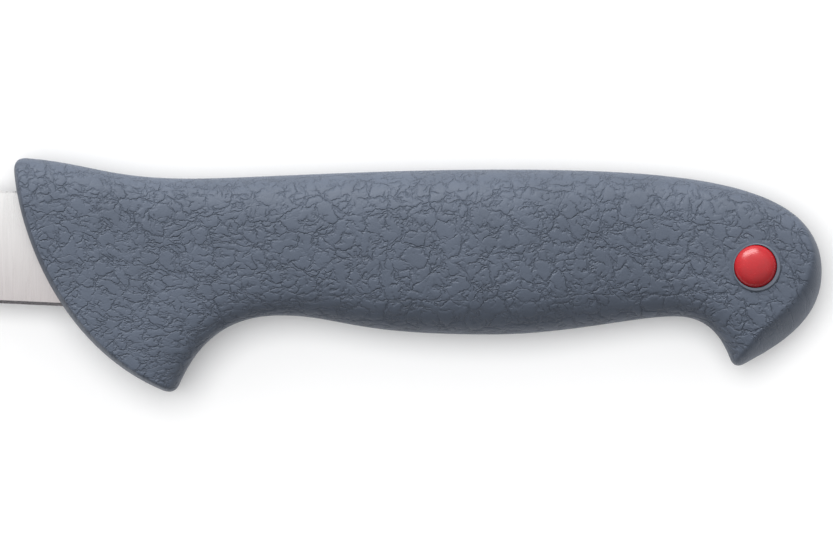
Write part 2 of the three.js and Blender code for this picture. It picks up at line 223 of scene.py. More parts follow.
@dataclass(frozen=True)
class Grain:
    """Leather grain pressed into the soft skin: lengths in millimetres on the skin."""

    large_cell: float = 2.9
    small_cell: float = 1.4
    crease_cell: float = 8.5
    crease_slant: tuple[float, float, float] = (0.7, 1.25, 1.0)
    groove: float = 0.38
    depth: float = 0.08
    sharp_groove: float = 0.27
    sharp_depth: float = 0.155
    sway: float = 0.8
    sway_length: float = 4.0
    bend: float = 0.42
    bend_length: float = 1.3
    jitter: float = 0.22
    jitter_length: float = 0.42
    patch_length: float = 2.6
    large_patches: Span = (0.38, 0.58)
    large_least: float = 0.2
    small_patches: Span = (0.45, 0.62)
    fine_share: float = 0.85
    crease_patches: Span = (0.3, 0.5)
    crease_least: float = 0.3
    unevenness: float = 0.03
    uneven_scale: float = 1.1
    uneven_detail: float = 3.0
    place: tuple[float, float, float] = (31.7, 12.3, 0.0)
    small_shift: tuple[float, float, float] = (57.0, 23.0, 0.0)
    crease_shift: tuple[float, float, float] = (13.0, 37.0, 0.0)
    patch_shift: tuple[float, float, float] = (9.0, 71.0, 0.0)

    def height(self, graph: Graph, at: Socket, groove: Value, depth: Value, cell: Value) -> Socket:
        """Height of the grained surface under the smooth one.

        Args:
            graph: The tree to build in.
            at: Place on the skin, in millimetres.
            groove: Half width of a groove.
            depth: Depth of a full groove.
            cell: Size of the large cells.

        Returns:
            The height in millimetres, zero on the plateaus and less in the grooves.
        """
        def grooves(where: Socket, size: Value) -> Socket:
            """Grooves between cells, 1 in the middle of a groove."""
            return graph.ramp(graph.edges(where, size), 0.0, groove, 1.0, 0.0, smooth=False)

        at = graph.vector("ADD", at, self.place)
        bent = at
        for reach, length in (
            (self.sway, self.sway_length), (self.bend, self.bend_length), (self.jitter, self.jitter_length),
        ):
            bent = graph.vector("ADD", bent, self._wander(graph, at, reach, length))
        small_at = graph.vector("ADD", bent, self.small_shift)
        crease_at = graph.vector("MULTIPLY", graph.vector("ADD", bent, self.crease_shift), self.crease_slant)

        here = graph.noise(at, 1 / self.patch_length).outputs[0]
        elsewhere = graph.noise(graph.vector("ADD", at, self.patch_shift), 1 / self.patch_length).outputs[0]
        cut: Value = 0.0
        for lines, patch, patches, least, most in (
            (grooves(bent, cell), here, self.large_patches, self.large_least, 1.0),
            (grooves(small_at, self.small_cell), elsewhere, self.small_patches, 0.0, self.fine_share),
            (grooves(crease_at, self.crease_cell), elsewhere, self.crease_patches, self.crease_least, 1.0),
        ):
            shown = graph.math("MULTIPLY", lines, graph.ramp(patch, *patches, least, most))
            cut = graph.math("MAXIMUM", cut, shown)
        rough = graph.noise(at, self.uneven_scale, self.uneven_detail).outputs[0]
        uneven = graph.math("SUBTRACT", rough, NOISE_MIDDLE)
        lowered = graph.math("MULTIPLY", cut, graph.math("MULTIPLY", depth, -1.0))
        return graph.math("MULTIPLY_ADD", uneven, self.unevenness, lowered)

    @staticmethod
    def _wander(graph: Graph, at: Socket, reach: float, length: float) -> Socket:
        """A soft random shift.

        Args:
            graph: The tree to build in.
            at: Where it is read.
            reach: The largest shift.
            length: How far apart different shifts are.

        Returns:
            The shift.
        """
        colour = graph.noise(at, 1 / length, detail=0.0).outputs[1]
        return graph.scaled(graph.vector("SUBTRACT", colour, 3 * [NOISE_MIDDLE]), 2 * reach)


class Finish:
    """A procedural material that is made once and shared."""

    name = "finish"

    def material(self) -> bpy.types.Material:
        """The material, built on first use.

        Returns:
            The material.
        """
        found = bpy.data.materials.get(self.name)
        if found:
            return found
        made = bpy.data.materials.new(self.name)
        made.use_nodes = True
        made.node_tree.nodes.clear()
        graph = Graph(made.node_tree)
        graph.add("ShaderNodeOutputMaterial", {"Surface": self.surface(graph)})
        return made

    def surface(self, graph: Graph) -> Socket:
        """The finish's shader: a Principled one, unless a finish has its own."""
        return graph.add("ShaderNodeBsdfPrincipled", self.dress(graph)).outputs[0]

    def dress(self, graph: Graph) -> dict[str, Value]:
        """The Principled shader's colour, gloss and relief, by the names of its inputs."""
        raise NotImplementedError

    @staticmethod
    def place(graph: Graph) -> Socket:
        """Place on the piece, in millimetres of the model's frame."""
        return graph.scaled(graph.add("ShaderNodeTexCoord").outputs["Object"], 1 / MM)

    def clouds(self, graph: Graph, scale: float, detail: float) -> Socket:
        """Soft noise through the piece, with its repeats per millimetre and its finer layers."""
        return graph.noise(self.place(graph), scale, detail, flat=False).outputs[0]

    @staticmethod
    def relief(graph: Graph, height: Socket) -> Socket:
        """The normal of fine relief with a height in millimetres."""
        return graph.add("ShaderNodeBump", {"Strength": 1.0, "Distance": MM, "Height": height}).outputs[0]


@dataclass(frozen=True)
class SoftGrip(Finish):
    """Soft blue-grey skin with leather grain, and painted shade in its grooves."""

    grain: Grain = field(default_factory=Grain)
    colour: Colour = (0.086, 0.104, 0.139)
    cloud_scale: float = 0.16
    cloud_detail: float = 3.0
    tone: Span = (0.95, 1.05)
    # Painted shade: how dark the deepest grooves are coloured.
    groove_shade_level: float = 0.95
    pore_scale: float = 4.5
    pore_detail: float = 2.0
    pore_depth: float = 0.04
    roughness: Span = (0.5, 0.64)
    specular: float = 0.3
    name = "grained_grip"

    def dress(self, graph: Graph) -> dict[str, Value]:
        """Grain follows the skin, and fades as the mesh says. Its grooves get painted shade.

        Args:
            graph: The material's tree.

        Returns:
            The Principled shader's inputs.
        """
        at = graph.add("ShaderNodeAttribute", attribute_name=GripSkin.PLACE).outputs["Vector"]
        fade = graph.add("ShaderNodeAttribute", attribute_name=GripSkin.FADE).outputs["Fac"]
        grain = self.grain
        pressed = grain.height(graph, at, grain.sharp_groove, grain.sharp_depth, grain.large_cell)
        height = graph.math("MULTIPLY", pressed, fade)
        pores = self.clouds(graph, self.pore_scale, self.pore_detail)
        tone = graph.vary(self.clouds(graph, self.cloud_scale, self.cloud_detail), self.tone)
        # Painted shade: the colour darkens with the grooves' depth, as if shade falls in them.
        painted_groove_shade = graph.ramp(height, -grain.sharp_depth, 0.0, self.groove_shade_level, 1.0, smooth=False)
        pitted = graph.math("SUBTRACT", pores, NOISE_MIDDLE)
        return {
            "Base Color": graph.scaled(self.colour, graph.math("MULTIPLY", painted_groove_shade, tone)),
            "Roughness": graph.vary(pores, self.roughness),
            "Normal": self.relief(graph, graph.math("MULTIPLY_ADD", pitted, self.pore_depth, height)),
            "Specular IOR Level": self.specular,
        }


@dataclass(frozen=True)
class MouldedPlastic(Finish):
    """Smooth plastic with slight mould clouding and faint moulding marks."""

    colour: Colour
    cloud_scale: float
    tone: Span
    roughness: Span
    mark_scale: float
    mark_detail: float
    mark_depth: float
    CLOUD_DETAIL = 3.0

    def dress(self, graph: Graph) -> dict[str, Value]:
        """Colour and gloss vary together, and the marks stay faint.

        Args:
            graph: The material's tree.

        Returns:
            The Principled shader's inputs.
        """
        clouds = self.clouds(graph, self.cloud_scale, self.CLOUD_DETAIL)
        marks = self.clouds(graph, self.mark_scale, self.mark_detail)
        return {
            "Base Color": graph.scaled(self.colour, graph.vary(clouds, self.tone)),
            "Roughness": graph.vary(clouds, self.roughness),
            "Normal": self.relief(graph, graph.math("MULTIPLY", marks, self.mark_depth)),
        }


@dataclass(frozen=True)
class HardGrey(MouldedPlastic):
    """Satin plastic of the core and its collars."""

    colour: Colour = (0.115, 0.135, 0.172)
    cloud_scale: float = 0.8
    tone: Span = (0.94, 1.06)
    roughness: Span = (0.36, 0.44)
    mark_scale: float = 9.0
    mark_detail: float = 1.0
    mark_depth: float = 0.004
    name = "satin_hard_grey"


@dataclass(frozen=True)
class RedGloss(MouldedPlastic):
    """Polished red plastic of the colour buttons."""

    colour: Colour = (0.44, 0.012, 0.018)
    cloud_scale: float = 0.9
    tone: Span = (0.95, 1.05)
    roughness: Span = (0.22, 0.28)
    mark_scale: float = 5.0
    mark_detail: float = 2.0
    mark_depth: float = 0.006
    name = "gloss_red"


@dataclass(frozen=True)
class GroundSteel(Finish):
    """Blade steel with fine grinding lines across its length, and painted shade that darkens it towards the
    edge.
    """

    colour: Colour = (0.81, 0.805, 0.8)
    # Painted shade: the darker, slightly pink colour at the edge, which eases into the steel's colour towards
    # the back.
    edge_shade_colour: Colour = (0.56, 0.52, 0.52)
    edge_height: float = -6.0
    back_height: float = 14.0
    line_length: float = 9.0
    line_width: float = 0.09
    line_detail: float = 3.0
    line_share: float = 0.6
    line_depth: float = 0.0035
    band_width: float = 0.5625
    band_detail: float = 2.0
    tone: Span = (0.9, 1.07)
    roughness: Span = (0.24, 0.38)
    name = "cross_ground_steel"

    def dress(self, graph: Graph) -> dict[str, Value]:
        """Lines run from back to edge, and vary in gloss and depth. The colour is painted darker towards the
        edge as shade.

        Args:
            graph: The material's tree.

        Returns:
            The Principled shader's inputs.
        """
        place = self.place(graph)

        def drawn(width: float, detail: float) -> Socket:
            """Noise drawn out into lines from back to edge."""
            stretch = (1 / width, 1 / self.line_length, 1 / self.line_length)
            return graph.noise(graph.vector("MULTIPLY", place, stretch), 1.0, detail, flat=False).outputs[0]

        lines = drawn(self.line_width, self.line_detail)
        bands = graph.math("MULTIPLY", drawn(self.band_width, self.band_detail), 1 - self.line_share)
        mixed = graph.math("MULTIPLY_ADD", lines, self.line_share, bands)
        height = graph.add("ShaderNodeSeparateXYZ", {0: place}).outputs["Y"]
        # Painted shade: the colour runs from the darker edge colour up to the steel's colour at the back.
        share = graph.ramp(height, self.edge_height, self.back_height, smooth=False)
        edge_shade_blend = {0: share, 4: self.edge_shade_colour, 5: self.colour}
        colour = graph.add("ShaderNodeMix", edge_shade_blend, data_type="VECTOR").outputs[1]
        return {
            "Base Color": graph.scaled(colour, graph.vary(mixed, self.tone)),
            "Metallic": 1.0,
            "Roughness": graph.vary(mixed, self.roughness),
            "Normal": self.relief(graph, graph.math("MULTIPLY", lines, self.line_depth)),
        }


@dataclass(frozen=True)
class HonedSteel(Finish):
    """The narrow honed bevel, which mirrors the dark side of the room, and whose colour is painted dark as
    shade.
    """

    # Painted shade: a dark steel colour that stands for the shade along the edge.
    colour: Colour = (0.2, 0.19, 0.2)
    mark_scale: float = 3.0
    mark_detail: float = 3.0
    tone: Span = (0.8, 1.2)
    roughness: Span = (0.2, 0.32)
    name = "honed_edge_painted_shade"

    def dress(self, graph: Graph) -> dict[str, Value]:
        """Polish with uneven honing marks, on a dark colour of painted shade.

        Args:
            graph: The material's tree.

        Returns:
            The Principled shader's inputs.
        """
        marks = self.clouds(graph, self.mark_scale, self.mark_detail)
        return {
            "Base Color": graph.scaled(self.colour, graph.vary(marks, self.tone)),
            "Metallic": 1.0,
            "Roughness": graph.vary(marks, self.roughness),
        }


@dataclass(frozen=True)
class PaleFloor(Finish):
    """White floor that keeps the knife's shadow."""

    colour: Colour = (0.9, 0.9, 0.9)
    lift: float = 0.02
    name = "pale_floor"

    def surface(self, graph: Graph) -> Socket:
        """Matt white, lifted to full white where the camera sees it.

        Args:
            graph: The material's tree.

        Returns:
            The shader.
        """
        matt = graph.add("ShaderNodeBsdfDiffuse", {"Color": (*self.colour, 1.0)})
        rays = graph.add("ShaderNodeLightPath").outputs
        seen = graph.math("MAXIMUM", rays["Is Camera Ray"], rays["Is Glossy Ray"])
        seen = graph.math("MAXIMUM", seen, rays["Is Transmission Ray"])
        glow = graph.add("ShaderNodeEmission", {"Strength": graph.math("MULTIPLY", seen, self.lift)})
        return graph.add("ShaderNodeAddShader", {0: matt.outputs[0], 1: glow.outputs[0]}).outputs[0]


def new_object(name: str, points: np.ndarray, faces: Sequence[Sequence[int]]) -> bpy.types.Object:
    """A mesh object at the origin.

    Args:
        name: The object's name.
        points: Corners in metres.
        faces: Corner numbers of each face, pointing out.

    Returns:
        The object, linked to the scene.
    """
    mesh = bpy.data.meshes.new(name)
    mesh.from_pydata(np.asarray(points, float).tolist(), [], [list(map(int, face)) for face in faces])
    mesh.update()
    made = bpy.data.objects.new(name, mesh)
    bpy.context.scene.collection.objects.link(made)
    return made


def bake_modifiers(obj: bpy.types.Object) -> None:
    """Turns an object's modifiers into a plain mesh, and removes them.

    Args:
        obj: The object.
    """
    graph = bpy.context.evaluated_depsgraph_get()
    mesh = bpy.data.meshes.new_from_object(obj.evaluated_get(graph), depsgraph=graph)
    obj.modifiers.clear()
    obj.data = mesh


def combine(obj: bpy.types.Object, other: bpy.types.Object, operation: str) -> None:
    """Joins another solid to an object, or cuts it out of it, and removes the other.

    Args:
        obj: The object that stays.
        other: The other solid.
        operation: UNION or DIFFERENCE.
    """
    modifier = obj.modifiers.new("combine", "BOOLEAN")
    modifier.operation = operation
    modifier.solver = "EXACT"
    modifier.object = other
    bake_modifiers(obj)
    bpy.data.objects.remove(other)


def shade(obj: bpy.types.Object, crease_degrees: float) -> None:
    """Smooth shading with sharp edges past an angle."""
    obj.data.shade_smooth()
    obj.data.set_sharp_from_angle(angle=math.radians(crease_degrees))


def wear(obj: bpy.types.Object, finish: Finish) -> None:
    """Gives an object one material."""
    obj.data.materials.clear()
    obj.data.materials.append(finish.material())


def lathe(profile: Sequence[Span], steps: int, centre: Vector, side: Side) -> Mesh:
    """A closed body turned round an axis along Z.

    Args:
        profile: Radius and height in millimetres, from the axis at the foot to the axis at the head.
        steps: Facets round the axis.
        centre: The foot's centre in metres.
        side: Which way the head points.

    Returns:
        Corners in metres, and faces that point out.
    """
    rings = np.array(profile[1:-1], float) * MM
    turn = np.linspace(0, 2 * math.pi, steps, endpoint=False)
    x = centre.x + rings[:, :1] * np.cos(turn)
    y = centre.y + rings[:, :1] * np.sin(turn)
    z = centre.z + side.value * np.repeat(rings[:, 1:], steps, axis=1)
    ends = [(centre.x, centre.y, centre.z + side.value * profile[i][1] * MM) for i in (0, -1)]
    points = np.vstack([np.stack([x, y, z], -1).reshape(-1, 3), ends])
    faces = ring_faces(len(rings), steps)
    foot, head = len(points) - 2, len(points) - 1
    last = (len(rings) - 1) * steps
    faces += [(foot, (j + 1) % steps, j) for j in range(steps)]
    faces += [(head, last + j, last + (j + 1) % steps) for j in range(steps)]
    if side is Side.BACK:
        faces = [face[::-1] for face in faces]
    return points, faces


def round_cutter(name: str, radius: float, reach: float, steps: int, centre: Vector) -> bpy.types.Object:
    """A cylinder that cuts a round opening through both sides.

    Args:
        name: The object's name.
        radius: Its radius in millimetres.
        reach: How far it reaches to each side of its centre, in millimetres.
        steps: Its facets.
        centre: Its centre in metres.

    Returns:
        The cylinder.
    """
    profile = [(0, -reach), (radius, -reach), (radius, reach), (0, reach)]
    return new_object(name, *lathe(profile, steps, centre, Side.FRONT))


def ring_faces(rings: int, steps: int, closed: bool = False) -> list[tuple[int, ...]]:
    """Faces between neighbouring rings of corners.

    Args:
        rings: How many rings.
        steps: Corners in each.
        closed: Whether the last ring joins the first.

    Returns:
        The faces, pointing out where the rings rise and turn left.
    """
    faces = []
    for i in range(rings if closed else rings - 1):
        low, high = i * steps, (i + 1) % rings * steps
        for j in range(steps):
            k = (j + 1) % steps
            faces.append((low + j, low + k, high + k, high + j))
    return faces


class Line:
    """A chain of points that can be read at any share of its length."""

    def __init__(self, points: np.ndarray) -> None:
        """Measures a chain of points in order."""
        self.points = points
        steps = np.linalg.norm(np.diff(points, axis=0), axis=1)
        self.reach = np.concatenate([[0.0], np.cumsum(steps)])
        self.length = float(self.reach[-1])

    def at(self, share: np.ndarray | float) -> np.ndarray:
        """Points at shares of the length.

        Args:
            share: 0 at the start to 1 at the end.

        Returns:
            The points.
        """
        goal = np.clip(share, 0.0, 1.0) * self.length
        return np.stack([np.interp(goal, self.reach, self.points[:, i]) for i in (0, 1)], -1)

    def part(self, start: float, end: float) -> "Line":
        """The part between two shares of the length, reversed where it ends before its start."""
        return Line(self.at(np.linspace(start, end, len(self.points))))


@dataclass(frozen=True)
class Stretch:
    """A smooth piece of outline that leaves and arrives along given headings."""

    start: tuple[float, float]
    heading: float
    pull: float
    end: tuple[float, float]
    arrival: float
    arrival_pull: float
    STEPS = 160

    def points(self) -> np.ndarray:
        """Points along the stretch.

        Returns:
            The points, both ends included.
        """
        start, end = np.array(self.start), np.array(self.end)
        reach = np.linalg.norm(end - start)
        turns = [math.radians(degrees) for degrees in (self.heading, self.arrival)]
        leave, arrive = (np.array([math.cos(turn), math.sin(turn)]) for turn in turns)
        first = start + leave * self.pull * reach
        second = end - arrive * self.arrival_pull * reach
        t = np.linspace(0, 1, self.STEPS)[:, None]
        return (1 - t) ** 3 * start + 3 * (1 - t) ** 2 * t * first + 3 * (1 - t) * t**2 * second + t**3 * end


def chained(*stretches: Stretch) -> Line:
    """Stretches in a row as one chain, each starting where the last one ends."""
    parts = [stretch.points() for stretch in stretches]
    return Line(np.vstack([parts[0]] + [part[1:] for part in parts[1:]]))


@dataclass(frozen=True)
class GripForm:
    """The grip's form: stations and heights in millimetres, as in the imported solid."""

    length: float = 138.4
    corner_rise: float = 15.4
    corner_round: float = 2.4
    guard_at: float = 27.7
    guard_drop: float = 25.3
    guard_round: float = 2.2
    neck_at: float = 30.2
    neck_rise: float = 11.75
    crown_at: float = 83.3
    crown_rise: float = 13.3
    tail_drop: float = 4.2
    hook_setback: float = 15.0
    hook_drop: float = 20.9
    hook_round: float = 2.0
    heel_setback: float = 25.0
    heel_drop: float = 11.85
    belly_at: float = 81.6
    belly_drop: float = 14.95
    finger_at: float = 45.6
    finger_drop: float = 11.7
    guard_thickness: float = 20.8
    neck_thickness: float = 17.0
    swell_thickness: float = 21.0
    heel_thickness: float = 15.4
    tail_thickness: float = 17.2
    tail_setback: float = 5.0
    ridge_setback: float = 2.8
    ridge_narrow: float = 1.5
    ridge_start: Span = (-0.05, 0.25)
    ridge_fade: Span = (0.3, 0.85)
    front_bulge: float = 0.8
    guard_squareness: float = 5.4
    barrel_squareness: float = 3.0
    tail_squareness: float = 3.6
    front_squareness: float = 2.2
    ridge_squareness: float = 1.5
    ridge_roundness: float = 2.4
    front_fade: float = 5.0
    tail_fade: float = 10.0
    tail_edge_share: float = 0.2
    ROUND_STEPS = 16
    SIDE_STEPS = 600

    def __post_init__(self) -> None:
        """Works out the four edges of the outline."""
        corner = (0.0, self.corner_rise)
        guard = (self.guard_at, -self.guard_drop)
        neck = (self.neck_at, self.neck_rise)
        crown = (self.crown_at, self.crown_rise)
        tail = (self.length, -self.tail_drop)
        hook = (self.length - self.hook_setback, -self.hook_drop)
        heel = (self.length - self.heel_setback, -self.heel_drop)
        belly = (self.belly_at, -self.belly_drop)
        finger = (self.finger_at, -self.finger_drop)
        front = chained(Stretch(guard, 161.4, 0.42, corner, 90, 0.24))
        back = chained(
            Stretch(corner, -3, 0.42, neck, 0, 0.49),
            Stretch(neck, 0, 0.18, crown, 0, 0.41),
            Stretch(crown, 0, 0.58, tail, -90, 0.26),
            Stretch(tail, -90, 0.42, hook, -151, 0.28),
        )
        under = chained(
            Stretch(guard, 70, 0.39, finger, 0, 0.43),
            Stretch(finger, 0, 0.29, belly, 0, 0.68),
            Stretch(belly, 0, 0.42, heel, 0, 0.23),
            Stretch(heel, 0, 0.54, hook, -68, 0.22),
        )
        whole_back = self._rounded(
            back, self._end(front, self.corner_round), self.corner_round,
            self._end(under, self.hook_round), self.hook_round,
        )
        edges = {
            "front": self._rounded(
                front, self._start(under, self.guard_round), self.guard_round,
                self._start(back, self.corner_round), self.corner_round,
            ),
            "under": self._rounded(
                under, self._start(front, self.guard_round), self.guard_round,
                self._end(back, self.hook_round), self.hook_round,
            ),
            "top": whole_back.part(0, 1 - self.tail_edge_share),
            "tail": whole_back.part(1, 1 - self.tail_edge_share),
        }
        for name, line in edges.items():
            object.__setattr__(self, f"{name}_edge", line)

    @staticmethod
    def _start(line: Line, distance: float) -> np.ndarray:
        """The point at a distance from a chain's start."""
        return line.at(distance / line.length)

    @staticmethod
    def _end(line: Line, distance: float) -> np.ndarray:
        """The point at a distance from a chain's end."""
        return line.at(1 - distance / line.length)

    def _rounded(self, side: Line, before: np.ndarray, first: float, after: np.ndarray, last: float) -> Line:
        """One side, from the middle of one rounded corner to the middle of the next.

        Args:
            side: The side between its sharp corners.
            before: Where the rounding starts on the side before.
            first: Distance from the first corner where the rounding ends.
            after: Where the rounding ends on the side after.
            last: Distance from the last corner where the rounding starts.

        Returns:
            The rounded side.
        """
        def bend(start: np.ndarray, corner: np.ndarray, end: np.ndarray, share: np.ndarray) -> np.ndarray:
            """Points on a corner's rounding."""
            t = share[:, None]
            return (1 - t) ** 2 * start + 2 * t * (1 - t) * corner + t**2 * end

        low, high = first / side.length, 1 - last / side.length
        entry = bend(before, side.at(0.0), side.at(low), np.linspace(0.5, 1, self.ROUND_STEPS))
        leave = bend(side.at(high), side.at(1.0), after, np.linspace(0, 0.5, self.ROUND_STEPS))
        return Line(np.vstack([entry[:-1], side.at(np.linspace(low, high, self.SIDE_STEPS)), leave[1:]]))

    def plane(self, along: np.ndarray, up: np.ndarray) -> np.ndarray:
        """Places in the blade plane.

        Args:
            along: Share of the length, 0 at the front edge.
            up: Share of the height, 0 at the belly.

        Returns:
            Station and height in millimetres.
        """
        def bow(line: Line) -> np.ndarray:
            """How far an end's curve leaves the straight line between its ends."""
            return line.at(up) - (1 - up)[..., None] * line.at(0.0) - up[..., None] * line.at(1.0)

        lofted = (1 - up)[..., None] * self.under_edge.at(along) + up[..., None] * self.top_edge.at(along)
        front = ((1 - along) ** self.front_fade)[..., None] * bow(self.front_edge)
        return lofted + front + (along**self.tail_fade)[..., None] * bow(self.tail_edge)

    def span(self, up: np.ndarray) -> np.ndarray:
        """Length of the grip at a share of its height, in millimetres."""
        return self.under_edge.length + (self.top_edge.length - self.under_edge.length) * up

    def ridge_strength(self, up: np.ndarray) -> np.ndarray:
        """Strength of the tail's ridge at shares of the height, from 0 where it has faded to 1."""
        return smooth(up, *self.ridge_start) * (1 - smooth(up, *self.ridge_fade))

    def ridge_width(self, up: np.ndarray) -> np.ndarray:
        """Width of the slope behind the tail's ridge in millimetres: widest above the hook."""
        return self.ridge_narrow + (self.ridge_setback - self.ridge_narrow) * self.ridge_strength(up)

    def half_thickness(self, along: np.ndarray, up: np.ndarray) -> np.ndarray:
        """Half thickness of the grip, in millimetres.

        Args:
            along: Share of the length.
            up: Share of the height.

        Returns:
            The half thickness.
        """
        def eased(stations: list[tuple[float, float]]) -> np.ndarray:
            """A value that eases from one station's value to the next."""
            result = np.full_like(along, stations[0][1])
            for (start, value), (end, following) in zip(stations, stations[1:]):
                t = np.clip((along - start) / (end - start), 0, 1)
                result += (following - value) * t * t * (3 - 2 * t)
            return result

        def rise(distance: np.ndarray, reach: Amount, squareness: Amount) -> np.ndarray:
            """Rise of a rounded edge, from 0 at the edge to 1."""
            return (1 - np.clip(1 - distance / reach, 0, 1) ** squareness) ** (1 / squareness)

        heel, tail = 1 - self.heel_setback / self.length, 1 - self.tail_setback / self.length
        full = eased([
            (0.0, self.guard_thickness), (self.neck_at / self.length, self.neck_thickness),
            (self.belly_at / self.length, self.swell_thickness), (heel, self.heel_thickness),
            (tail, self.tail_thickness),
        ]) / 2
        square = eased([
            (0.0, self.guard_squareness), (self.finger_at / self.length, self.barrel_squareness),
            (heel, self.barrel_squareness), (tail, self.tail_squareness),
        ])
        section = (1 - np.abs(2 * up - 1) ** square) ** (1 / square)
        front = rise(along * self.span(up), self.front_bulge, self.front_squareness)
        sharpening = self.ridge_squareness - self.ridge_roundness
        crisp = self.ridge_roundness + sharpening * self.ridge_strength(up)
        slope = rise((1 - along) * self.span(up), self.ridge_width(up), crisp)
        return full * section * front * slope


@dataclass(frozen=True)
class Placement:
    """Where the grip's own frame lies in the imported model."""

    origin: Vector

    def metres(self, places: np.ndarray, heights: np.ndarray) -> np.ndarray:
        """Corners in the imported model's frame.

        Args:
            places: Stations and heights in the blade plane, in millimetres.
            heights: Distances from the blade plane, in millimetres.

        Returns:
            The corners in metres.
        """
        local = np.concatenate([places, heights[..., None]], -1) * MM
        return local + np.array(self.origin)

    def local(self, point: Vector) -> np.ndarray:
        """Station and height of a point, in millimetres."""
        return np.array((point - self.origin).xy) / MM

    def under(self, point: Vector) -> Vector:
        """The place in the blade plane under a point, in metres."""
        return Vector((point.x, point.y, self.origin.z))


def smooth(value: np.ndarray, low: float, high: float) -> np.ndarray:
    """A smooth step from 0 to 1 between two values."""
    t = np.clip((value - low) / (high - low), 0, 1)
    return t * t * (3 - 2 * t)


def cosine_steps(count: int) -> np.ndarray:
    """Shares from 0 to 1 that crowd towards both ends."""
    return (1 - np.cos(math.pi * np.linspace(0, 1, count + 1))) / 2


@dataclass(frozen=True)
class Fade:
    """How strongly the grain is pressed: from the least share at a start to all of it at an end."""

    least: float
    start: float
    end: float

    def at(self, distance: np.ndarray) -> np.ndarray:
        """The share at distances."""
        return self.least + (1 - self.least) * smooth(distance, self.start, self.end)


def pillow(
    place: Placement, plane: np.ndarray, half: np.ndarray,
) -> tuple[np.ndarray, list[list[int]], np.ndarray]:
    """A closed body that swells to both sides of the blade plane.

    Args:
        place: Where the grip's frame lies.
        plane: A grid of places in the blade plane.
        half: Half thickness over the grid, taken as none at its rim.

    Returns:
        Corners in metres, faces that point out, and which places of the grid are its rim.
    """
    rim = np.zeros(half.shape, bool)
    rim[[0, -1]] = True
    rim[:, [0, -1]] = True
    half = np.where(rim, 0.0, half)
    numbers = np.arange(half.size).reshape(half.shape)
    back_numbers = numbers.copy()
    back_numbers[~rim] = half.size + np.arange((~rim).sum())
    points = np.vstack([place.metres(plane, half).reshape(-1, 3), place.metres(plane, -half)[~rim]])
    faces = []
    for grid, step in ((numbers, 1), (back_numbers, -1)):
        corners = [grid[:-1, :-1], grid[1:, :-1], grid[1:, 1:], grid[:-1, 1:]][::step]
        faces += np.stack([corner.ravel() for corner in corners], -1).tolist()
    return points, faces, rim


